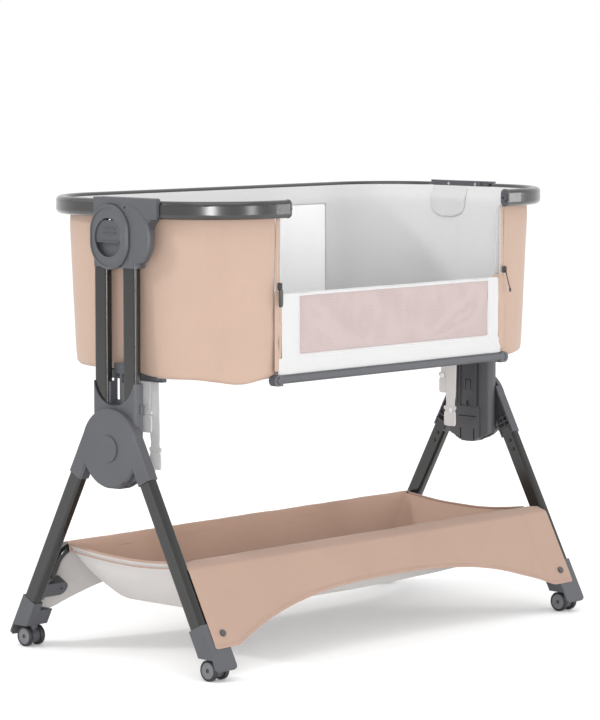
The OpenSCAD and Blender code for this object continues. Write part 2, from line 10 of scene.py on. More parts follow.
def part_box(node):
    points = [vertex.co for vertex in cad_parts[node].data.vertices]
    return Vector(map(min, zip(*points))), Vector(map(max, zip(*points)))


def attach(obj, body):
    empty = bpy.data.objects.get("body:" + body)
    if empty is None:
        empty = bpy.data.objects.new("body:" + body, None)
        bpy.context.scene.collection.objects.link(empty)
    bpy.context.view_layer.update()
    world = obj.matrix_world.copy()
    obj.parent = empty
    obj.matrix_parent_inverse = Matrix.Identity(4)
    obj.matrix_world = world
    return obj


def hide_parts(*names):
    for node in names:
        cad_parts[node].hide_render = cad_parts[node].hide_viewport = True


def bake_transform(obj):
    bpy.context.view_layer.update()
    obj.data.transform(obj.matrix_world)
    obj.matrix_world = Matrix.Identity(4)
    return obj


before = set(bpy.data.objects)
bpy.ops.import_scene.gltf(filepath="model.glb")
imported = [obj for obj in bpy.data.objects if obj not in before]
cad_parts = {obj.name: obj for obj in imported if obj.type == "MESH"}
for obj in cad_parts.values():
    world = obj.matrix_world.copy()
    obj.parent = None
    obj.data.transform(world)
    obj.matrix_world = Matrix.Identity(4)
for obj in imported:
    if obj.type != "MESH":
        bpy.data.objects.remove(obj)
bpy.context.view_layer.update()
scene = bpy.context.scene
MM = 0.001

# ---- Sizes that the pieces share, read from the frame ----

shell_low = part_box("fabric_shell")[0]
lining_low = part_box("lining")[0]
rim_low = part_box("rim")[0]
cap_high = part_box("drop_rail_caps")[1]
panel_low, panel_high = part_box("drop_panel")
mattress_low, mattress_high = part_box("mattress")

FOLD_Z = panel_high.z + 2 * MM  # where the drop side hangs from the body
OPEN_HALF = panel_high.x + 5 * MM  # half width of the front opening
BODY_TOP = rim_low.z + 6 * MM  # the cloth's edge, tucked under the rim
TOP_A, LOW_A = 0.423, 0.415  # half lengths of the body at its top and bottom
TOP_B, LOW_B = 0.2025, 0.1945  # half widths
CORNER_R = 0.122
LEG_TILT = math.radians(27.7)  # lean of the legs' plane
LEG_FOOT_Y = 0.238  # where that plane meets the floor
WHEEL_Y, WHEEL_Z = 0.2155, 0.017  # the castors' axles


# ---- Node materials ----


class Nodes:
    """A material's node tree, with short calls for the nodes that the materials share."""

    def __init__(self, name, roughness=0.5, metallic=0.0, **sockets):
        self.mat = bpy.data.materials.new(name)
        self.mat.use_nodes = True
        self.tree = self.mat.node_tree
        self.shader = self.tree.nodes["Principled BSDF"]
        self.shader.inputs["Roughness"].default_value = roughness
        self.shader.inputs["Metallic"].default_value = metallic
        for socket, value in sockets.items():
            self.shader.inputs[socket.replace("_", " ")].default_value = value
        self.place = self.add("ShaderNodeTexCoord").outputs["Object"]

    def add(self, kind, **settings):
        node = self.tree.nodes.new(kind)
        for key, value in settings.items():
            setattr(node, key, value)
        return node

    def link(self, out, into):
        self.tree.links.new(out, into)

    def stretched(self, scale):
        node = self.add("ShaderNodeMapping")
        node.inputs["Scale"].default_value = scale
        self.link(self.place, node.inputs["Vector"])
        return node.outputs["Vector"]

    def noise(self, scale, detail=2.0, vector=None):
        node = self.add("ShaderNodeTexNoise")
        node.inputs["Scale"].default_value = scale
        node.inputs["Detail"].default_value = detail
        self.link(vector or self.place, node.inputs["Vector"])
        return node.outputs["Fac"]

    def ramp(self, fac, *stops):
        node = self.add("ShaderNodeValToRGB")
        while len(node.color_ramp.elements) < len(stops):
            node.color_ramp.elements.new(0.5)
        for element, (place, colour) in zip(node.color_ramp.elements, stops):
            element.position = place
            element.color = (*colour, 1) if len(colour) == 3 else colour
        self.link(fac, node.inputs["Fac"])
        return node.outputs["Color"]

    def range(self, fac, low, high):
        node = self.add("ShaderNodeMapRange")
        node.inputs["To Min"].default_value = low
        node.inputs["To Max"].default_value = high
        self.link(fac, node.inputs["Value"])
        return node.outputs["Result"]

    def maths(self, operation, a, b):
        node = self.add("ShaderNodeMath", operation=operation)
        for socket, value in zip(node.inputs, (a, b)):
            if isinstance(value, (int, float)):
                socket.default_value = value
            else:
                self.link(value, socket)
        return node.outputs["Value"]

    def mix(self, kind, fac, a, b):
        node = self.add("ShaderNodeMix", data_type="RGBA", blend_type=kind)
        node.inputs["Factor"].default_value = fac
        for socket, value in ((node.inputs[6], a), (node.inputs[7], b)):
            if isinstance(value, tuple):
                socket.default_value = (*value, 1)
            else:
                self.link(value, socket)
        return node.outputs[2]

    def bump(self, height, strength, distance):
        node = self.add("ShaderNodeBump")
        node.inputs["Strength"].default_value = strength
        node.inputs["Distance"].default_value = distance
        self.link(height, node.inputs["Height"])
        if self.shader.inputs["Normal"].links:
            self.link(self.shader.inputs["Normal"].links[0].from_socket, node.inputs["Normal"])
        self.link(node.outputs["Normal"], self.shader.inputs["Normal"])

    def set(self, socket, out):
        self.link(out, self.shader.inputs[socket])


def shade(colour, k):
    """The colour, k times as light."""
    return tuple(min(1, c * k) for c in colour)


def cloth_material(name, colour, threads=1100, contrast=0.035, weave=0.1, sheen=0.15, rough=0.92):
    """Plain weave: crossed threads, a mottle from uneven yarn, and faint slubs."""
    n = Nodes(name, rough, Sheen_Weight=sheen, Sheen_Roughness=0.5)
    fine = [n.add("ShaderNodeTexWave", bands_direction=d) for d in ("X", "Y", "Z")]
    for wave in fine:
        wave.inputs["Scale"].default_value = threads / 20
        wave.inputs["Distortion"].default_value = 0.6
        wave.inputs["Detail"].default_value = 1.0
        n.link(n.place, wave.inputs["Vector"])
    weave_height = n.maths("ADD", fine[0].outputs["Fac"], fine[1].outputs["Fac"])
    weave_height = n.maths("ADD", weave_height, fine[2].outputs["Fac"])
    mottle = n.noise(9.0, 4.0)
    slub = n.noise(300.0, 1.0, n.stretched((1, 1, 0.12)))
    tone = n.maths("ADD", n.maths("MULTIPLY", mottle, 0.6), n.maths("MULTIPLY", slub, 0.4))
    n.set("Base Color", n.ramp(tone, (0.3, shade(colour, 1 - contrast)), (0.7, shade(colour, 1 + contrast))))
    n.set("Roughness", n.range(slub, rough - 0.06, rough + 0.05))
    n.bump(weave_height, weave, 0.00025)
    n.bump(mottle, 0.12, 0.002)
    return n.mat


def plastic_material(name, colour, rough=0.5, grain=0.12):
    """Moulded plastic with a fine spark-eroded grain and slightly uneven gloss."""
    n = Nodes(name, rough)
    pits = n.noise(1400.0, 2.0)
    cloud = n.noise(14.0, 3.0)
    n.set("Base Color", n.ramp(cloud, (0.3, shade(colour, 0.93)), (0.7, shade(colour, 1.07))))
    n.set("Roughness", n.range(cloud, rough - 0.05, rough + 0.07))
    n.bump(pits, grain, 0.0002)
    return n.mat


def tube_material(name, colour, rough=0.3, metallic=0.0, **sockets):
    """Powder-coated or anodised metal: a very fine flake and a satin gloss that drifts a little."""
    n = Nodes(name, rough, metallic, **sockets)
    flake = n.noise(1800.0, 1.0)
    cloud = n.noise(3.0, 1.0)
    tone = n.maths("ADD", n.maths("MULTIPLY", flake, 0.35), n.maths("MULTIPLY", cloud, 0.65))
    n.set("Base Color", n.ramp(tone, (0.3, shade(colour, 0.95)), (0.7, shade(colour, 1.05))))
    n.set("Roughness", n.range(cloud, rough - 0.03, rough + 0.03))
    n.bump(flake, 0.03, 0.00005)
    return n.mat


def wheel_material(name, disc, tyre):
    """Grey plastic disc inside a black tread, in bands round the axle, with painted shade in the pit at its middle."""
    n = Nodes(name, 0.5)
    place = n.add("ShaderNodeVectorMath", operation="ABSOLUTE")
    n.link(n.place, place.inputs[0])
    centre = n.add("ShaderNodeVectorMath", operation="SUBTRACT")
    n.link(place.outputs[0], centre.inputs[0])
    centre.inputs[1].default_value = (0, WHEEL_Y, WHEEL_Z)
    flat = n.add("ShaderNodeVectorMath", operation="MULTIPLY")
    n.link(centre.outputs[0], flat.inputs[0])
    flat.inputs[1].default_value = (0, 1, 1)
    length = n.add("ShaderNodeVectorMath", operation="LENGTH")
    n.link(flat.outputs[0], length.inputs[0])
    share = n.maths("MULTIPLY", length.outputs["Value"], 50.0)  # distance from the axle as a share of 20 mm
    # up to 3.2 mm from the axle the disc is painted at a quarter of its grey, as painted shade in the pit
    disc_rings_and_pit_shade = n.ramp(share, (0.16, shade(disc, 0.25)), (0.19, disc), (0.63, disc), (0.655, tyre))
    dust = n.ramp(n.noise(40.0, 3.0), (0.3, (0.92, 0.92, 0.92)), (0.7, (1, 1, 1)))
    n.set("Base Color", n.mix("MULTIPLY", 1.0, disc_rings_and_pit_shade, dust))
    n.set("Roughness", n.range(n.noise(900.0), 0.42, 0.62))
    n.bump(n.noise(1500.0), 0.12, 0.0002)
    return n.mat


def mesh_material(name, colour, back):
    """Knitted mesh: rows of small round holes, darker than the yarn."""
    n = Nodes(name, 0.85, Sheen_Weight=0.2)
    cells = n.add("ShaderNodeTexVoronoi", feature="F1")
    cells.inputs["Scale"].default_value = 420.0
    cells.inputs["Randomness"].default_value = 0.15
    n.link(n.place, cells.inputs["Vector"])
    cloud = n.noise(11.0, 4.0)
    hole = n.ramp(cells.outputs["Distance"], (0.18, back), (0.38, colour))
    n.set("Base Color", n.mix("MULTIPLY", 0.5, hole, n.ramp(cloud, (0.3, (0.88, 0.86, 0.86)), (0.7, (1, 1, 1)))))
    n.bump(cells.outputs["Distance"], 0.4, 0.0006)
    return n.mat


PEACH = (0.385, 0.272, 0.214)
GREY = (0.060, 0.062, 0.070)
MATERIALS = {
    "peach": cloth_material("peach_cloth", PEACH),
    # the peach cloth painted darker, as painted shade for the basket under the bassinet
    "basket": cloth_material("basket_painted_shade_cloth", (0.335, 0.228, 0.177)),
    # the basket cloth painted about 1.3 times lighter, as painted light against the shade inside the bag and on the
    # rear flap
    "basket_painted_light": cloth_material("basket_painted_light_cloth", (0.43, 0.295, 0.230)),
    "white": cloth_material("white_cloth", (0.49, 0.49, 0.49), contrast=0.02, threads=1300),
    "bright": cloth_material("corner_cloth", (0.78, 0.78, 0.78), contrast=0.02, threads=1500),
    "lining": cloth_material("lining_cloth", (0.53, 0.53, 0.53), contrast=0.02, threads=900),
    "backing": cloth_material("basket_backing", (0.47, 0.447, 0.434), contrast=0.03),
    "webbing": cloth_material("white_webbing", (0.6, 0.6, 0.6), threads=2600, contrast=0.05, weave=0.4),
    "mesh": mesh_material("pink_mesh", (0.40, 0.325, 0.318), (0.30, 0.24, 0.23)),
    "plastic": plastic_material("grey_plastic", GREY),
    "lever": plastic_material("lever_plastic", shade(GREY, 0.8), 0.45),
    "black": plastic_material("black_plastic", (0.02, 0.02, 0.021), 0.38),
    "wheel": wheel_material("castor_wheel", (0.13, 0.132, 0.145), (0.012, 0.012, 0.014)),
    "tube": tube_material("anthracite_tube", (0.011, 0.011, 0.0105), 0.2, Coat_Weight=0.1, Coat_Roughness=0.12),
    "rim": tube_material("satin_rim", (0.012, 0.012, 0.0115), 0.25, Coat_Weight=0.6, Coat_Roughness=0.22),
    "steel": tube_material("plated_steel", (0.55, 0.55, 0.55), 0.25, 1.0),
    "thread": cloth_material("white_thread", (0.76, 0.76, 0.76), contrast=0.02, threads=3000),
    "peach_thread": cloth_material("peach_thread", (0.42, 0.28, 0.215), contrast=0.02, threads=3000),
    "board": cloth_material("hardboard", (0.34, 0.22, 0.13), threads=400, sheen=0.0),
}
NODE_LOOKS = {  # endings of node names, or whole names; the rest are grey plastic
    "tube": ("_leg", "_upright", "_stretcher", "bottom_frame"),
    "rim": ("rim",),
    "steel": ("bracket_screws", "strap_snaps", "_lever_spring"),
    "lever": ("_release_lever", "basket_snaps"),
    "black": ("_zip_pull", "leg_rivets"),
    "wheel": ("_wheels",),
    "board": ("base_board",),
}


def look_of(name):
    """The material that a CAD node takes."""
    for look, endings in NODE_LOOKS.items():
        if any(name == e or (e.startswith("_") and name.endswith(e)) for e in endings):
            return look
    return "plastic"


ROUNDED = {  # width of the rounded edges, in mm
    "_leg_hub": 0.9, "_sleeve": 0.7, "_rim_bracket": 1.2, "_dial": 0.8, "_release_lever": 0.5, "_foot": 1.0,
    "_castor": 0.5, "_wheels": 0.5, "stretcher_brackets": 0.8, "hub_caps": 0.8, "rim_end_caps": 0.6,
    "bottom_brackets": 0.8, "drop_rail_caps": 0.6, "basket_snaps": 0.8, "strap_snaps": 0.5, "leg_rivets": 0.5,
}


def bevel(obj, width, segments=2, angle=35):
    """Rounds an object's sharp edges."""
    mod = obj.modifiers.new("bevel", "BEVEL")
    mod.width, mod.segments, mod.use_clamp_overlap = width, segments, False
    mod.limit_method, mod.angle_limit = "ANGLE", math.radians(angle)
    obj.data.shade_smooth()
    normals = obj.modifiers.new("normals", "WEIGHTED_NORMAL")
    normals.keep_sharp = True
    return obj


for node_name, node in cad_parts.items():
    node.data.materials.clear()
    node.data.materials.append(MATERIALS[look_of(node_name)])
    for ending, size in ROUNDED.items():
        if node_name.endswith(ending):
            bevel(node, size * MM)

# ---- Mesh building ----


def piece(name, points, faces, look, body, blended=False):
    """A smooth-shaded mesh of the given points and faces that rides on a body."""
    mesh = bpy.data.meshes.new(name)
    mesh.from_pydata([tuple(map(float, p)) for p in points], [], faces)
    mesh.materials.append(MATERIALS[look])
    obj = bpy.data.objects.new(name, mesh)
    scene.collection.objects.link(obj)
    mesh.shade_smooth()
    if not blended:
        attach(obj, body)
    return obj


def grid_faces(rows, columns, closed=False, skip=None):
    """Quads between rows of a grid, joined round if closed, leaving out those that skip(i, j) names."""
    faces = []
    for i in range(rows - 1):
        for j in range(columns if closed else columns - 1):
            k = (j + 1) % columns
            if not (skip and skip(i, j)):
                faces.append((i * columns + j, i * columns + k, (i + 1) * columns + k, (i + 1) * columns + j))
    return faces


def thicken(obj, thickness, offset=-1.0, back_look=None, level=0):
    """Gives a sheet its thickness, another cloth on its back if named, and so many levels of subdivision."""
    if back_look:
        obj.data.materials.append(MATERIALS[back_look])
    solid = obj.modifiers.new("thickness", "SOLIDIFY")
    solid.thickness, solid.offset = thickness, offset
    solid.use_quality_normals = True
    if back_look:
        solid.material_offset = 1
        solid.material_offset_rim = 0
    if level:
        sub = obj.modifiers.new("smooth", "SUBSURF")
        sub.levels = sub.render_levels = level


def clean(obj, flip=None):
    """No loose points or many-sided faces; normals outward, or turned over if flip is true of the first one."""
    bm = bmesh.new()
    bm.from_mesh(obj.data)
    bmesh.ops.delete(bm, geom=[v for v in bm.verts if not v.link_faces], context="VERTS")
    bmesh.ops.triangulate(bm, faces=[f for f in bm.faces if len(f.verts) > 4])
    bmesh.ops.recalc_face_normals(bm, faces=bm.faces)
    bm.faces.ensure_lookup_table()
    if flip and flip(bm.faces[0].normal):
        bmesh.ops.reverse_faces(bm, faces=bm.faces)
    bm.to_mesh(obj.data)
    bm.free()


def apply_modifiers(obj):
    """Bakes the object's modifiers into its mesh."""
    bpy.context.view_layer.update()
    shown = obj.evaluated_get(bpy.context.evaluated_depsgraph_get())
    mesh = bpy.data.meshes.new_from_object(shown)
    obj.modifiers.clear()
    obj.data = mesh
    mesh.shade_smooth()


def tube(name, path, radius, look, body, sides=8, closed=False):
    """A round piping or cord along a path of points."""
    path = [Vector(p) for p in path]
    points, n = [], len(path)
    up = Vector((0.31, 0.17, 0.93))  # no path runs along this
    for i, p in enumerate(path):
        ahead = path[(i + 1) % n] if closed else path[min(i + 1, n - 1)]
        behind = path[i - 1] if closed else path[max(i - 1, 0)]
        along = (ahead - behind).normalized()
        side = along.cross(up).normalized()
        over = side.cross(along).normalized()
        for k in range(sides):
            q = 2 * math.pi * k / sides
            points.append(p + radius * (side * math.cos(q) + over * math.sin(q)))
    faces = grid_faces(n, sides, True)
    if closed:
        last = (n - 1) * sides
        faces += [tuple(v + last if v < sides else v - sides for v in f) for f in grid_faces(2, sides, True)]
    else:
        faces += [tuple(reversed(range(sides))), tuple(range((n - 1) * sides, n * sides))]
    return piece(name, points, faces, look, body)


def stitches(name, path, out, body, pitch=3.2 * MM, look="thread"):
    """A row of short raised stitches along a polyline."""
    path = [Vector(p) for p in path]
    out = Vector(out).normalized()
    points, faces = [], []
    for a, b in zip(path, path[1:]):
        along = (b - a).normalized()
        side = along.cross(out).normalized()
        for k in range(int((b - a).length / pitch)):
            at = a + along * pitch * (k + 0.5)
            base = len(points)
            for end, lift in ((-0.36, 0.0), (0.0, 0.35 * MM), (0.36, 0.0)):
                for width in (-1, 1):
                    points.append(at + along * pitch * end + side * 0.28 * MM * width + out * lift)
            faces += [(base, base + 2, base + 3, base + 1), (base + 2, base + 4, base + 5, base + 3)]
    thicken(piece(name, points, faces, look, body), 0.3 * MM)


def plate(name, outline, y, thick, look, body, round_off):
    """A flat rounded part: an outline in X-Z, given a thickness along Y."""
    n = len(outline)
    points = [(x, y + t, z) for t in (-thick / 2, thick / 2) for x, z in outline]
    faces = [tuple(range(n)), tuple(reversed(range(n, 2 * n)))]
    faces += [(j, j + n, (j + 1) % n + n, (j + 1) % n) for j in range(n)]
    obj = piece(name, points, faces, look, body)
    clean(obj)
    return bevel(obj, round_off, 3, 50)


def oval(cx, cz, wide, tall, steps=28, power=3.0):
    """Outline of a rounded rectangle: a superellipse."""

    def reach(k):
        return math.copysign(abs(k) ** (2 / power), k)

    turns = [2 * math.pi * i / steps for i in range(steps)]
    return [(cx + reach(math.cos(q)) * wide / 2, cz + reach(math.sin(q)) * tall / 2) for q in turns]


def box_mesh(points, faces, centre, half):
    """Adds a box to the points and faces."""
    base = len(points)
    for sx in (-1, 1):
        for sy in (-1, 1):
            for sz in (-1, 1):
                points.append(centre + Vector((half.x * sx, half.y * sy, half.z * sz)))
    faces += [tuple(base + i for i in f) for f in
              ((0, 1, 3, 2), (4, 6, 7, 5), (0, 4, 5, 1), (2, 3, 7, 6), (0, 2, 6, 4), (1, 5, 7, 3))]


def wave(x, y, z, scale, seed=0.0):
    """Smooth noise between -1 and 1, with about scale waves to the metre."""
    return noise.noise(Vector((x, y, z)) * scale + Vector((seed, seed * 1.7, seed * 0.3)))


def bell(offset, width):
    """1 in the middle, falling to 0 some widths away."""
    return math.exp(-(offset / width) ** 2)


def ease(t):
    """0 up to 0, 1 from 1, and smooth between."""
    t = min(max(t, 0.0), 1.0)
    return t * t * (3 - 2 * t)


def mix(a, b, t):
    """From a at 0 to b at 1."""
    return a + (b - a) * t


def body_stations(front_marks, corner_steps=14, side_steps=10, rear_steps=36):
    """Stations round the body, anticlockwise from above: (side, place along it)."""
    stations = [("front", x) for x in front_marks]
    for corner, side, steps in (("c0", "right", side_steps), ("c1", "rear", rear_steps), ("c2", "left", side_steps),
                                ("c3", "", 0)):
        stations += [(corner, i / corner_steps) for i in range(corner_steps + 1)]
        stations += [(side, i / steps) for i in range(1, steps)]
    return stations


def station_point(station, a, b, r):
    """Place and outward normal of a station on the rounded rectangle a, b, r."""
    side, t = station
    if side == "front":
        return Vector((t, -b)), Vector((0, -1))
    if side == "rear":
        return Vector((mix(a - r, r - a, t), b)), Vector((0, 1))
    if side == "right":
        return Vector((a, mix(r - b, b - r, t))), Vector((1, 0))
    if side == "left":
        return Vector((-a, mix(b - r, r - b, t))), Vector((-1, 0))
    corner = int(side[1])
    angle = (corner + t - 1) * math.pi / 2
    centre = Vector(((a - r) * (1, 1, -1, -1)[corner], (b - r) * (-1, 1, 1, -1)[corner]))
    out = Vector((math.cos(angle), math.sin(angle)))
    return centre + out * r, out


# ---- Fabric shell ----

EDGE_HALF = OPEN_HALF + 9 * MM  # the shell's cut edge beside the opening
SET_BACK = 0.0075  # how far the front lies back behind the drop panel
near_edge = [EDGE_HALF - step * MM for step in (0, 3, 6, 9)] + [0.258, 0.243]
front_marks = sorted([-x for x in near_edge] + [0.02 * i for i in range(-11, 12)] + near_edge)


def body_share(z):
    """Height on the body: 0 at its bottom, 1 at its top."""
    return (z - shell_low.z) / (BODY_TOP - shell_low.z)


def in_opening(station, half=EDGE_HALF):
    """Whether the column of faces after a station lies in the front opening."""
    return station[0] == "front" and -half <= station[1] < half - 0.1 * MM


def build_shell():
    """The peach cover: walls drawn in to a rounded bottom seam, and the closed underside."""
    stations = body_stations(front_marks)
    bottom = shell_low.z
    bend = 0.010
    fold, fold_row = FOLD_Z - 5 * MM, 8
    rows = [(mix(BODY_TOP, fold, i / fold_row), 0.0) for i in range(fold_row + 1)]
    rows += [(mix(fold, bottom + bend, i / 9), 0.0) for i in range(1, 10)]
    rows += [(bottom + bend * (1 - math.sin(q)), bend * (1 - math.cos(q))) for q in (0.3, 0.6, 0.9, 1.2, math.pi / 2)]
    points = []
    for z, inset in rows:
        k = body_share(z)
        a, b = mix(LOW_A, TOP_A, k) - inset, mix(LOW_B, TOP_B, k) - inset
        for st in stations:
            p, out = station_point(st, a, b, CORNER_R - inset)
            height = z - bottom
            pull = 0.0009 * wave(p.x, p.y, z * 0.35, 11) + 0.0005 * wave(p.x, p.y, z, 34, 3)
            pull += 0.0018 * wave(p.x, p.y, z * 0.5, 55, 7) * math.exp(-height / 0.018)
            pull -= 0.0011 * bell(height - 0.010, 0.0035)  # the hem's seam
            if z > BODY_TOP - 0.02:
                pull -= 0.003 * (z - BODY_TOP + 0.02) / 0.02
            if st[0] == "front":
                beside = 1 - ease((abs(st[1]) - OPEN_HALF + 4 * MM) / (9 * MM))
                below = ease((FOLD_Z + 0.004 - z) / 0.012)
                crease = 0.0022 * wave(p.x, 0, z, 60, 5) * (1 if abs(st[1]) > 0.24 else 0)
                back = SET_BACK + 0.008 * (FOLD_Z - z) / (FOLD_Z - bottom)
                pull -= back * beside * below - crease * below * (1 - beside)
            pull += 0.0022 * wave(p.x * 1.3, p.y * 1.3, z * 2, 48, 17) * bell(height - 0.004, 0.012)
            p = p + out * pull
            sag = 0.0165 * ease((-p.y + 0.01) / 0.10) * ease((0.03 - height) / 0.03)
            sag *= 0.8 + 0.5 * wave(p.x, p.y, 0, 14, 6)
            sag *= 1 - 0.45 * ease((OPEN_HALF - abs(p.x)) / 0.03)
            points.append((p.x, p.y, z - sag))
    columns = len(stations)
    faces = grid_faces(len(rows), columns, True, lambda i, j: i < fold_row and in_opening(stations[j]))
    last = (len(rows) - 1) * columns
    for ring, k in enumerate((0.94, 0.8, 0.5), 1):  # the underside, in to its middle
        for j in range(columns):
            x, y, z = points[last + j]
            drop = (bottom - z) * (1 - ring / 3)
            points.append((x * k, y * k, bottom - drop - 0.0008 * ring + 0.0006 * wave(x * k, y * k, 0, 20)))
    faces += [tuple(v + last for v in f) for f in grid_faces(4, columns, True)]
    faces.append(tuple(range(len(points) - columns, len(points))))
    obj = piece("shell_cover", points, faces, "peach", "bassinet")
    clean(obj)
    thicken(obj, 1.4 * MM, level=1)
    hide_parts("fabric_shell")


# ---- Lining ----

LINING_IN = 0.0065  # how far it lies inside the shell
LINING_TOP = 0.742
SEAM_X, SEAM_Z = 0.257, 0.711  # side and top seam of the rear corner panel
TONGUE_Y, TONGUE_Z = (0.002, 0.083), (0.688, 0.7385)  # flap over the right rim bracket


def lining_point(station, z, inside=0.0):
    """Place on the lining at a station and height, so far inside it."""
    k = min(body_share(z), 1)
    a, b = mix(LOW_A, TOP_A, k) - LINING_IN, mix(LOW_B, TOP_B, k) - LINING_IN
    p, out = station_point(station, a, b, CORNER_R - LINING_IN)
    pull = 0.0085 * ease((z - 0.716) / 0.024) - inside  # out to the rim
    pull += 0.0016 * wave(p.x, p.y, z * 0.3, 9, 2) * ease((0.715 - z) / 0.05) + 0.0006 * wave(p.x, p.y, z * 0.4, 38, 4)
    if station[0] == "front":
        pull -= (SET_BACK + 0.004) if abs(station[1]) < EDGE_HALF + 1 * MM else 0.002
    for end in (1, -1):
        if out.x * end > 0.7:
            y = p.y * end
            gather = bell(y - 0.083, 0.004) + bell(y - 0.012, 0.005) + 0.6 * bell(y - 0.05, 0.006)
            pull -= 0.0022 * gather * ease((z - 0.56) / 0.12) * ease((0.70 - z) / 0.02)
    p = p + out * pull
    return Vector((p.x, p.y, z))


def build_lining():
    """The white inner wall: up from the mattress board, flared out to the rim at its top."""
    cut = cap_high.x + 2 * MM  # the closed rail's caps stand in this corner
    stations = body_stations([-cut] + front_marks + [cut], rear_steps=60, side_steps=24)
    cut_z = 2 * FOLD_Z - cap_high.z - 8 * MM
    fold, fold_row = FOLD_Z - 3 * MM, 8
    rows = [mix(lining_low.z, fold, i / fold_row) for i in range(fold_row + 1)]
    rows += [mix(fold, LINING_TOP, i / 14) for i in range(1, 15)]
    points = [lining_point(st, z) for z in rows for st in stations]

    def open_front(i, j):
        return i >= fold_row and in_opening(stations[j], cut if rows[i] > cut_z else EDGE_HALF)

    obj = piece("lining_wall", points, grid_faces(len(rows), len(stations), True, open_front), "lining", "bassinet")
    clean(obj)
    thicken(obj, 1.6 * MM, 0.0, level=1)
    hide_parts("lining")


def build_lining_panels():
    """Sewn-on parts of the lining: a plain panel round the rear left corner and a tongue over each rim bracket."""
    start = 0.5 - SEAM_X / (2 * (TOP_A - CORNER_R))
    stations = [("rear", mix(start, 1, i / 44)) for i in range(45)]
    stations += [("c2", i / 12) for i in range(1, 13)] + [("left", i / 24) for i in range(1, 13)]
    rows = [mix(lining_low.z + 6 * MM, SEAM_Z, i / 14) for i in range(15)]
    points = [lining_point(st, z, 2.2 * MM) for z in rows for st in stations]
    panel = piece("lining_corner_panel", points, grid_faces(len(rows), len(stations)), "bright", "bassinet")
    clean(panel)
    thicken(panel, 1.0 * MM, 0.0, level=1)
    seam = [lining_point(stations[0], z, 3.0 * MM) for z in rows]
    seam += [lining_point(st, SEAM_Z, 3.0 * MM) for st in stations[1:]]
    tube("lining_corner_seam", seam, 0.9 * MM, "white", "bassinet")
    nx, nz, round_r = 16, 14, 0.022
    middle, half = (TONGUE_Y[0] + TONGUE_Y[1]) / 2, (TONGUE_Y[1] - TONGUE_Y[0]) / 2
    for end, s in (("right", 1), ("left", -1)):
        points = []
        for i in range(nz + 1):
            z = mix(TONGUE_Z[1], TONGUE_Z[0], i / nz)
            low = max(0.0, 1 - (z - TONGUE_Z[0]) / round_r)
            wide = half - round_r * (1 - math.sqrt(max(0.0, 1 - low * low)))
            for j in range(nx + 1):
                y = s * (middle + wide * (2 * j / nx - 1))
                share = (y + TOP_B - CORNER_R) / (2 * (TOP_B - CORNER_R))
                puff = 1.6 * MM * math.sin(math.pi * min(1.0, (1 - abs(2 * j / nx - 1)) * 4) / 2)
                station = ("right", share) if s > 0 else ("left", 1 - share)
                points.append(lining_point(station, z, 1.6 * MM + puff))
        tongue = piece(f"{end}_tongue", points, grid_faces(nz + 1, nx + 1), "white", "bassinet")
        thicken(tongue, 1.2 * MM, 0.0, level=1)
        edge = points[::nx + 1] + points[nz * (nx + 1) + 1:] + points[nx::nx + 1][-2::-1]
        tube(f"{end}_tongue_edge", edge, 0.8 * MM, "white", "bassinet")


# ---- Drop side ----

PANEL_Y = (panel_low.y + panel_high.y) / 2
NET_LEFT, NET_RIGHT = -0.2255, 0.2395  # edges of the mesh window
NET_LOW, NET_TOP = 0.4985, FOLD_Z - 2.5 * MM
PANEL_LOW = panel_low.z - 0.5 * MM
TAB_Z = 0.494  # below this the border reaches out over the rail caps


def panel_folds(x, z):
    """Soft folds of the hanging panel: sweeping down from both top corners, and along the top."""
    across = (x - NET_LEFT) / (NET_RIGHT - NET_LEFT)
    down = (NET_TOP - z) / (NET_TOP - NET_LOW)
    right = (1 - across) * 3.6
    left = across * 3.6
    fold = 0.0016 * bell(down - 0.15 - right * 0.75, 0.20) * ease(2.2 - right * 1.2)
    fold += 0.0011 * bell(down - 0.35 - right * 0.55, 0.10) * ease(2.0 - right)
    fold += 0.0012 * bell(down - 0.1 - left * 0.9, 0.18) * ease(2.0 - left * 1.2)
    fold += 0.0010 * wave(x, 0, z, 22, 6) + 0.0005 * wave(x, 0, z * 0.4, 70, 8)
    return fold * ease(down * 6) * ease((1 - down) * 6) * ease(across * 12) * ease((1 - across) * 12)


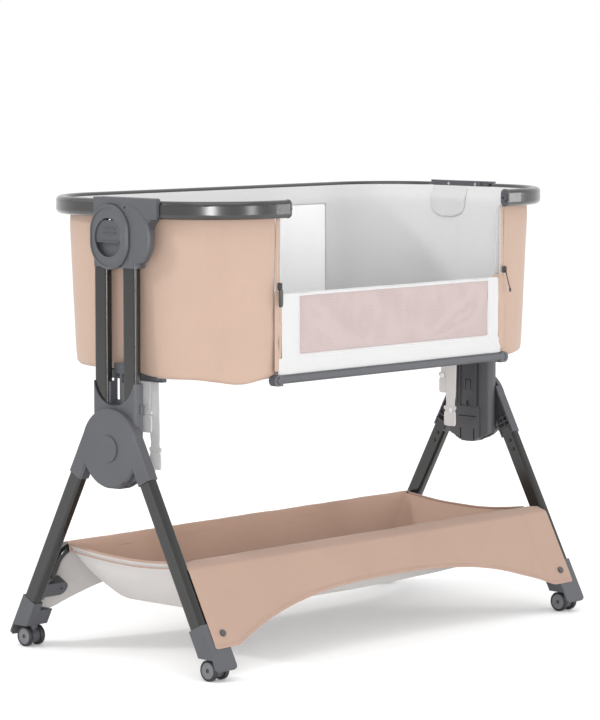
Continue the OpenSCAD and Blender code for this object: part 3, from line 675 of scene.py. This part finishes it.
def build_panel():
    """Mesh window in a two-layer white border, hung from the fold and sewn round the rail."""
    nx, nz = 94, 30
    points = []
    for i in range(nz + 1):
        z = mix(NET_LOW - 2 * MM, NET_TOP, i / nz)
        for j in range(nx + 1):
            x = mix(NET_LEFT - 2 * MM, NET_RIGHT + 2 * MM, j / nx)
            points.append((x, PANEL_Y + 0.2 * MM - panel_folds(x, z), z))
    net = piece("panel_mesh", points, grid_faces(nz + 1, nx + 1), "mesh", "drop_side")
    thicken(net, 0.7 * MM, 0.0)
    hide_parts("drop_panel")

    half = panel_high.x + 1 * MM
    tab = half + 8 * MM
    xs = [-tab, -tab + 4 * MM] + [mix(-half, NET_LEFT, i / 10) for i in range(11)]
    xs += [mix(NET_LEFT, NET_RIGHT, i / 60) for i in range(1, 60)]
    xs += [mix(NET_RIGHT, half, i / 8) for i in range(9)] + [tab - 4 * MM, tab]
    zs = [mix(PANEL_LOW, TAB_Z, i / 6) for i in range(7)] + [mix(TAB_Z, NET_LOW, i / 2) for i in range(1, 3)]
    zs += [mix(NET_LOW, FOLD_Z - 1 * MM, i / 24) for i in range(1, 25)]
    points = []
    for z in zs:
        for x in xs:
            # distance out from the window's edge
            dx = max(NET_LEFT - x, x - NET_RIGHT, NET_LOW - z if NET_LEFT < x < NET_RIGHT else 0)
            if not NET_LEFT < x < NET_RIGHT and z < NET_LOW:
                dx = max(dx, 0.004)
            puff = 1.0 * MM * math.sin(math.pi * min(1, max(0, dx) / 0.034)) ** 0.6 if dx > 0 else 0
            hem = 0.55 * MM * bell(dx - 4 * MM, 0.9 * MM)
            ripple = 0.7 * MM * wave(x, 0, z, 45, 12) + 0.4 * MM * wave(x * 0.4, 0, z, 110, 14)
            waist = 1.6 * MM * wave(0, 0, z, 26, 3) * (1 if abs(x) > half - 12 * MM else 0)
            points.append((x + waist * math.copysign(1, x), PANEL_Y - 0.3 * MM - puff + hem - ripple * 0.8, z))

    def hole(i, j):
        middle_x, middle_z = (xs[j] + xs[j + 1]) / 2, (zs[i] + zs[i + 1]) / 2
        window = NET_LEFT < middle_x < NET_RIGHT and middle_z > NET_LOW
        return window or (abs(middle_x) > half and middle_z > TAB_Z)

    border = piece("panel_border", points, grid_faces(len(zs), len(xs), False, hole), "white", "drop_side")
    clean(border)
    thicken(border, 1.7 * MM, 0.0, level=1)
    seam_y, seam_z = PANEL_Y - 2.2 * MM, NET_LOW - 4 * MM
    corners = {"left": NET_LEFT - 4 * MM, "right": NET_RIGHT + 4 * MM}
    stitches("border_stitching", [(x, seam_y, seam_z) for x in corners.values()], (0, -1, 0), "drop_side")
    for side, x in corners.items():
        path = [(x, seam_y, z) for z in (seam_z, FOLD_Z - 3 * MM)]
        stitches(f"border_stitching_{side}", path, (0, -1, 0), "drop_side")


def build_hinge_cloth():
    """The cloth that turns over at the fold, from the lining's front edge to the top of the panel."""
    half = panel_high.x
    profile = [(-0.1895, 16), (-0.1895, 7), (-0.1915, 2.4), (-0.1955, 1.2), (-0.199, 1.8), (-0.2005, 3.2),
               (-0.2008, 6.5)]  # y, and mm below the fold
    n = 80
    points = []
    for j in range(n + 1):
        x = mix(-half, half, j / n)
        for y, below in profile:
            z = FOLD_Z - below * MM
            points.append((x, y + 0.4 * MM * wave(x, y, z, 40, 9), z + 0.5 * MM * wave(x, 0, z, 30, 4)))
    obj = piece("fold_cloth", points, grid_faces(n + 1, len(profile)), "white", "bassinet", blended=True)
    thicken(obj, 1.0 * MM, 0.0, level=1)
    apply_modifiers(obj)
    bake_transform(obj)


def build_zips():
    """Zip tapes with teeth up both sides of the opening, and the loose tape edges on the panel."""
    n, pitch = 40, 2.2 * MM
    low_z, high_z = FOLD_Z + 3 * MM, rim_low.z - 1 * MM
    x0 = EDGE_HALF - 2.5 * MM
    for side, s in (("left", -1), ("right", 1)):
        points = []
        for i in range(n + 1):
            z = mix(low_z, high_z, i / n)
            sway = 0.5 * MM * wave(s, 0, z, 50, 2)
            for dx, dy in ((-6 * MM, 0.2 * MM), (-3 * MM, -0.5 * MM), (0.0, -0.6 * MM), (3 * MM, 0.4 * MM)):
                points.append((s * (x0 + dx + sway), -0.2005 + dy, z))
        tape = piece(f"{side}_zip_tape", points, grid_faces(n + 1, 4), "peach", "bassinet")
        thicken(tape, 0.8 * MM, 0.0)
        points, faces, tooth = [], [], Vector((1.5 * MM, 1.0 * MM, 0.65 * MM))
        for k in range(int((high_z - low_z) / pitch)):
            box_mesh(points, faces, Vector((s * (x0 - 6.3 * MM), -0.2009, low_z + pitch * (k + 0.5))), tooth)
        teeth = piece(f"{side}_zip_teeth", points, faces, "white", "bassinet")
        bevel(teeth, 0.2 * MM)
        if s < 0:
            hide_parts("zip_tracks")
        points = []
        for i in range(n + 1):
            z = mix(TAB_Z + 1 * MM, FOLD_Z - 2 * MM, i / n)
            sway = 1.2 * MM * wave(s, 0, z, 34, 5)
            for dx, dy in ((0.0, 0.6 * MM), (2.5 * MM, -0.3 * MM), (5.5 * MM, 0.3 * MM)):
                points.append((s * (panel_high.x + 1 * MM + dx) + sway, PANEL_Y + dy, z))
        loose = piece(f"{side}_loose_tape", points, grid_faces(n + 1, 3), "peach", "drop_side")
        thicken(loose, 0.8 * MM, 0.0)


def build_gussets():
    """Loose cloth behind the lower zip halves, from the shell's edge to behind the panel."""
    nx, nz = 8, 30
    for side, s in (("left", -1), ("right", 1)):
        points = []
        for i in range(nz + 1):
            z = mix(shell_low.z + 2 * MM, FOLD_Z + 4 * MM, i / nz)
            for j in range(nx + 1):
                t = j / nx
                x = mix(EDGE_HALF + 3 * MM, panel_high.x - 8 * MM, t)
                y = mix(-0.2000, -0.1955, ease(t)) - 3.6 * MM * wave(x * 2.2, s, z, 42, 8) * math.sin(math.pi * t)
                points.append((s * x, y - 1.6 * MM * math.sin(math.pi * t), z))
        cloth = piece(f"{side}_gusset", points, grid_faces(nz + 1, nx + 1), "peach", "bassinet")
        thicken(cloth, 1.0 * MM, 0.0, level=1)


def build_pulls():
    """Zip sliders: the left one with a moulded tab, the right one with a cord."""
    for side in ("left", "right"):
        box_low, box_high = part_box(f"{side}_zip_pull")
        x, top = (box_low.x + box_high.x) / 2, box_high.z
        body = f"{side}_zip"
        outline = oval(x, top - 5.5 * MM, 8.5 * MM, 12 * MM)
        slider = plate(f"{side}_slider", outline, box_low.y + 2.2 * MM, 3.6 * MM, "black", body, 0.9 * MM)
        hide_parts(f"{side}_zip_pull")
        loop = [(x, box_low.y + (0.4 - 2.6 * math.sin(q)) * MM, top - (2 + 6 * q / math.pi) * MM)
                for q in [i * math.pi / 8 for i in range(9)]]
        tube(f"{side}_slider_loop", loop, 0.8 * MM, "black", body)
        if side == "left":
            outline = oval(x - 0.5 * MM, top - 24 * MM, 9 * MM, 29 * MM, power=4)
            plate("left_pull_tab", outline, box_low.y - 0.4 * MM, 2.6 * MM, "black", body, 0.9 * MM)
            outline = oval(x - 0.5 * MM, top - 28 * MM, 5.6 * MM, 15 * MM, power=4)
            plate("left_pull_grip", outline, box_low.y - 0.9 * MM, 2.8 * MM, "black", body, 0.5 * MM)
        else:
            y = box_low.y - 1.2 * MM
            cord = [(x + 11 * MM * (i / 9) ** 1.3, y, top - 7 * MM - 31 * MM * i / 9) for i in range(10)]
            tube("right_pull_cord", cord, 0.9 * MM, "black", body)
            end_x, _, end_z = cord[-1]
            tube("right_pull_knot", [cord[-1], (end_x + 0.8 * MM, y, end_z - 6 * MM)], 1.7 * MM, "black", body)


# ---- Storage basket ----

BAG_TOP = Vector((0.420, 0.141))
BAG_LOW = Vector((0.352, 0.099))
BAG_TOP_Z, BAG_LOW_Z = 0.1775, 0.0865
BAG_SAG = 9 * MM  # how far the floor hangs in its middle


def bag_ring(k, n_long=70, n_short=26, n_corner=5):
    """Ring of the bag at share k from its top, 0, to its floor, 1."""
    a, b = mix(BAG_TOP.x, BAG_LOW.x, k), mix(BAG_TOP.y, BAG_LOW.y, k)
    r = mix(0.012, 0.035, k)
    belly = 0.007 * math.sin(math.pi * k)
    points = []
    stations = [("front", mix(-(a - r), a - r, i / n_long)) for i in range(n_long + 1)]
    for side, last, steps in (("c0", 4, n_corner), ("right", n_short, n_short), ("c1", 5, n_corner),
                              ("rear", n_long, n_long), ("c2", 4, n_corner), ("left", n_short, n_short),
                              ("c3", 4, n_corner)):
        stations += [(side, i / steps) for i in range(1, last + 1)]
    for st in stations:
        p, out = station_point(st, a + belly, b + belly, r)
        end = ease((abs(p.x) - 0.30) / 0.12)
        sag = 0.011 * end * (1 - min(1, abs(p.y) / BAG_TOP.y) ** 2) * (1 - k)
        z = mix(BAG_TOP_Z, BAG_LOW_Z - BAG_SAG * (1 - (p.x / 0.37) ** 2), k) - sag
        z += 0.0010 * wave(p.x, p.y, k, 16, 2) * (1 - k)
        p = p + out * (0.0022 * wave(p.x, p.y, z * 0.6, 13, 8) + 0.0012 * wave(p.x, p.y, z * 0.3, 40, 9))
        points.append(Vector((p.x, p.y, z)))
    return points


def build_bag():
    """The basket's four walls and sagging floor, bound and piped along both ends."""
    rows = [bag_ring(i / 9) for i in range(10)]
    ring, foot, n = rows[0], rows[-1], len(rows[0])
    for k, drop in ((0.93, 0.0022), (0.75, 0.004), (0.45, 0.006), (0.15, 0.0065)):
        rows.append([Vector((p.x * k, p.y * k, p.z - drop + 0.0012 * wave(p.x * k, p.y * k, 0, 14, 6))) for p in foot])
    points = [p for row in rows for p in row]
    faces = grid_faces(len(rows), n, True)
    faces.append(tuple(range(len(points) - n, len(points))))
    # the bag's inside takes the basket cloth painted lighter, against its shade
    bag = piece("basket_bag", points, faces, "basket_painted_light", "stand")
    clean(bag, lambda normal: True)
    thicken(bag, 1.6 * MM, back_look="backing", level=1)
    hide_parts("basket")
    for side, s in (("left", -1), ("right", 1)):
        end = sorted([p for p in ring if p.x * s > BAG_TOP.x - 0.004], key=lambda p: p.y)
        # binding and piping take the basket cloth with its painted shade
        tube(f"{side}_end_binding", [p + Vector((0, 0, 0.4 * MM)) for p in end], 1.9 * MM, "basket", "stand")
        low = [Vector((p.x + s * 2 * MM, p.y * 0.985, p.z - 9 * MM)) for p in end]
        tube(f"{side}_end_piping", low, 1.3 * MM, "basket", "stand")


FLAP_HALF = 0.444
FLAP_OUT = 16.6 * MM  # how far it hangs out from the legs' plane
TUCK_HALF = 0.4175  # half width of its part inside the bag


def arch(x):
    """How far up the legs the flap's lower edge is at x."""
    return 0.050 + 0.069 * (1 - min(abs(x) / 0.392, 1) ** 2.6)


def on_legs(x, up, out, side):
    """The point so far up the legs' plane and out from it, on the front, side 1, or the rear, -1."""
    y = -LEG_FOOT_Y - out * math.cos(LEG_TILT) + up * math.sin(LEG_TILT)
    return Vector((x, y * side, out * math.sin(LEG_TILT) + up * math.cos(LEG_TILT)))


def build_flap(name, side):
    """Flap over a stretcher: tucked inside the bag, over the tube, and down the plane of the legs."""
    nx, n_down, n_over = 110, 22, 9
    y_in = -BAG_TOP.y + 3 * MM
    points = []
    for j in range(nx + 1):
        x = mix(-FLAP_HALF, FLAP_HALF, j / nx)
        inner = 1 - abs(x) / FLAP_HALF
        for i in range(n_down + 1):
            up = mix(arch(x), 0.184, i / n_down)
            out = 0.0024 * wave(x, 0, up * 0.5, 12, 3 + side) + 0.0012 * wave(x, 0, up, 30, 5)
            out = FLAP_OUT + out * ease(inner * 6)
            out -= 0.0007 * bell(up - arch(x) - 6 * MM, 1.2 * MM)  # the hem's seam
            out -= 0.0012 * bell(abs(x) - 0.372, 0.0018)  # the seams of its end pieces
            points.append(on_legs(x, up, out, side))
        y0, z0 = points[-1].y * side, points[-1].z
        crest = BAG_TOP_Z + 2.6 * MM + 0.9 * MM * wave(x, 0, 0, 22, 7 + side)
        for i in range(1, n_over + 1):
            q = i / n_over
            if q < 0.6:
                u = q / 0.6
                y = mix(y0, y_in - 6 * MM, u)
                z = mix(z0, crest, math.sin(u * math.pi / 2)) - 0.6 * MM * math.sin(u * math.pi)
            else:
                u = (q - 0.6) / 0.4
                y = y_in - 6 * MM + 6 * MM * math.sin(u * math.pi / 2)
                z = crest - 19 * MM * (1 - math.cos(u * math.pi / 2))
            tucked = min(max(x, -TUCK_HALF), TUCK_HALF) if q > 0.55 else x
            points.append(Vector((tucked, y * side, z)))
    faces = grid_faces(nx + 1, n_down + 1 + n_over)
    # the front flap takes the basket cloth with its painted shade
    # the rear flap takes the basket cloth painted lighter, against its shade under the bassinet
    flap = piece(name, points, faces, "basket" if name == "front_flap" else "basket_painted_light", "stand")
    clean(flap, lambda normal: normal.y * side > 0)
    thicken(flap, 1.3 * MM, back_look="backing", level=1)
    end = FLAP_HALF - 4 * MM
    xs = [mix(-end, end, j / nx) for j in range(nx + 1)]
    hem = [on_legs(x, arch(x) + 6 * MM, FLAP_OUT + 1.2 * MM, side) for x in xs]
    out = (0, -side * math.cos(LEG_TILT), math.sin(LEG_TILT))
    stitches(f"{name}_hem", hem, out, "stand", pitch=3.6 * MM, look="peach_thread")


# ---- Mattress ----


def build_mattress():
    """Foam pad in a cover: cloth under slight pressure, then piping round both edges."""
    half = Vector([(mattress_high[i] - mattress_low[i]) / 2 - 4 * MM for i in (0, 1)])
    stations = body_stations([half.x * 0.7 * (i / 14 - 1) for i in range(29)])
    low, high = mattress_low.z + 3 * MM, mattress_high.z - 3 * MM
    corner_r = 0.10
    edge = ((0, 8 * MM), (2 * MM, 2.5 * MM), (7 * MM, 0))  # distance from the face, and how far in
    rows = [(low + z, inset) for z, inset in edge] + [(high - z, inset) for z, inset in reversed(edge)]
    points = []
    for z, inset in rows:
        for st in stations:
            p, _ = station_point(st, half.x - inset, half.y - inset, corner_r - inset)
            points.append(Vector((p.x, p.y, z)))
    n = len(stations)
    faces = grid_faces(len(rows), n, True)
    faces += [tuple(reversed(range(n))), tuple(range(len(points) - n, len(points)))]
    pad = piece("mattress_pad", points, faces, "white", "bassinet")
    clean(pad)
    inflate(pad, voxel=6 * MM, cap=5 * MM, low=mattress_low.z, high=mattress_high.z)
    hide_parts("mattress")
    for name, z in (("upper", high - 4 * MM), ("lower", low + 4 * MM)):
        ring = [station_point(st, half.x + 1.2 * MM, half.y + 1.2 * MM, corner_r)[0] for st in stations]
        ring = [Vector((p.x, p.y, z)) for p in ring]
        tube(f"mattress_{name}_piping", ring, 1.8 * MM, "white", "bassinet", closed=True)


def inflate(obj, voxel, cap, low, high, pressure=4.0, frames=20):
    """Remeshes a closed pad, blows it up with the cloth solver, caps how far each point moves, and applies it."""
    remesh = obj.modifiers.new("remesh", "REMESH")
    remesh.mode, remesh.voxel_size = "VOXEL", voxel
    apply_modifiers(obj)
    start = np.empty(len(obj.data.vertices) * 3, np.float32)
    obj.data.vertices.foreach_get("co", start)
    cloth = obj.modifiers.new("cloth", "CLOTH")
    cloth.settings.use_pressure = True
    cloth.settings.uniform_pressure_force = pressure
    cloth.settings.quality = 5
    cloth.settings.effector_weights.gravity = 0.0
    cloth.point_cache.frame_start, cloth.point_cache.frame_end = 1, frames
    for step in range(1, frames + 1):
        scene.frame_set(step)
    shown = obj.evaluated_get(bpy.context.evaluated_depsgraph_get())
    end = np.empty_like(start)
    shown.data.vertices.foreach_get("co", end)
    obj.modifiers.clear()
    scene.frame_set(1)
    start, end = start.reshape(-1, 3), end.reshape(-1, 3)
    move = end - start
    far = np.linalg.norm(move, axis=1, keepdims=True)
    end = start + move * np.minimum(1, cap / np.maximum(far, 1e-9))
    end[:, 2] = np.clip(end[:, 2], low + 0.5 * MM, high)
    obj.data.vertices.foreach_set("co", end.astype(np.float32).ravel())
    sub = obj.modifiers.new("smooth", "SUBSURF")
    sub.levels = sub.render_levels = 1
    obj.data.shade_smooth()


# ---- Straps under the ends ----


def build_straps():
    """White webbing hanging from each bottom bracket, a long and a short length, each with a moulded tab."""
    n, corners = 34, 24
    for end, s in (("left", -1), ("right", 1)):
        strap_low, strap_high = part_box(f"{end}_bed_straps")
        top = strap_high.z
        long = (0.3902, strap_low.y + 12.5 * MM, strap_low.z, 4 * MM)
        short = (0.3927, strap_high.y - 12.5 * MM, 0.371, 1.2 * MM)
        for number, (x, y, low_z, lean) in enumerate((long, short)):
            points = []
            for i in range(n + 1):
                hang = i / n
                z = mix(top, low_z, hang)
                sway = 0.5 * MM * wave(number, s, hang * 3, 1.0, 9) * hang
                wide = 12.2 * MM * (1 - 0.14 * bell(z - low_z - 42 * MM, 8 * MM))
                for q in (-1, -0.5, 0, 0.5, 1):
                    out = x + 0.4 * MM * wave(q * 3, s, z, 30, 2)
                    points.append((s * out + sway, y + s * lean * hang + wide * q, z))
            name = f"{end}_strap_{number + 1}"
            strap = piece(name, points, grid_faces(n + 1, 5), "webbing", "bassinet")
            thicken(strap, 1.3 * MM, 0.0, level=1)
            if number == 0:
                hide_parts(f"{end}_bed_straps")
            for part, (tall, wide, centre) in enumerate(((27 * MM, 26 * MM, 14 * MM), (7 * MM, 28 * MM, 33 * MM)), 1):
                outline = oval(y + s * lean, low_z + centre, wide, tall, corners, 7)
                slab = [(s * x + t, u, w) for t in (-1.6 * MM, 1.6 * MM) for u, w in outline]
                faces = [tuple(reversed(range(corners))), tuple(range(corners, 2 * corners))]
                faces += [(j, (j + 1) % corners, (j + 1) % corners + corners, j + corners) for j in range(corners)]
                tab = piece(f"{name}_tab_{part}", slab, faces, "webbing", "bassinet")
                clean(tab)
                bevel(tab, 0.7 * MM, 2, 50)


build_shell()
build_lining()
build_lining_panels()
build_panel()
build_hinge_cloth()
build_zips()
build_gussets()
build_pulls()
build_bag()
build_flap("front_flap", 1)
build_flap("rear_flap", -1)
build_mattress()
build_straps()

# ---- Camera, light and floor ----

scene.camera = bpy.data.objects.new("camera", bpy.data.cameras.new("camera"))
scene.collection.objects.link(scene.camera)
scene.camera.location = (-3.885, -3.6794, 0.9772)  # solved from the photograph's proportions
scene.camera.rotation_euler = (math.pi / 2 - 0.0965, 0, -0.8108)
scene.camera.data.lens = 158.35
scene.camera.data.clip_end = 50


def area_light(name, place, aim, power, size):
    """A rectangular lamp, hidden from the camera."""
    light = bpy.data.lights.new(name, "AREA")
    light.shape = "RECTANGLE"
    light.energy, (light.size, light.size_y) = power, size
    lamp = bpy.data.objects.new(name, light)
    scene.collection.objects.link(lamp)
    lamp.location, lamp.visible_camera = place, False
    lamp.rotation_euler = (Vector(aim) - Vector(place)).to_track_quat("-Z", "Y").to_euler()


# The three strips stand where the rim and the tubes mirror them
area_light("front_strip", (-3.45, -3.12, 0.8), (0, 0, 0.6), 82, (0.8, 1.5))
area_light("side_strip", (0.2, -4.65, 0.8), (0, 0, 0.6), 30, (0.8, 1.5))
area_light("right_strip", (2.54, -2.40, 0.75), (0, 0, 0.6), 22, (0.4, 1.5))
area_light("left_lamp", (-4.1, 2.9, 3.4), (0, 0, 0.5), 95, (0.7, 0.7))
area_light("top", (-0.6, -0.8, 3.4), (0, 0, 0.4), 22, (2.6, 2.6))

world = bpy.data.worlds.new("studio")
scene.world = world
world.use_nodes = True
background = world.node_tree.nodes["Background"]
background.inputs["Color"].default_value = (1, 1, 1, 1)
background.inputs["Strength"].default_value = 1.0

floor_mesh = bpy.data.meshes.new("floor")
floor_mesh.from_pydata([(-30, -30, 0), (30, -30, 0), (30, 30, 0), (-30, 30, 0)], [], [(0, 1, 2, 3)])
floor = bpy.data.objects.new("floor", floor_mesh)
scene.collection.objects.link(floor)
floor_look = Nodes("floor_paint", 0.9)
floor_tone = floor_look.ramp(floor_look.noise(0.4), (0.3, (0.93, 0.93, 0.93)), (0.7, (0.95, 0.95, 0.95)))
floor_look.set("Base Color", floor_tone)
floor_look.shader.inputs["Emission Color"].default_value = (1, 1, 1, 1)
floor_look.shader.inputs["Emission Strength"].default_value = 0.1
floor_mesh.materials.append(floor_look.mat)
scene.view_settings.view_transform = "Standard"
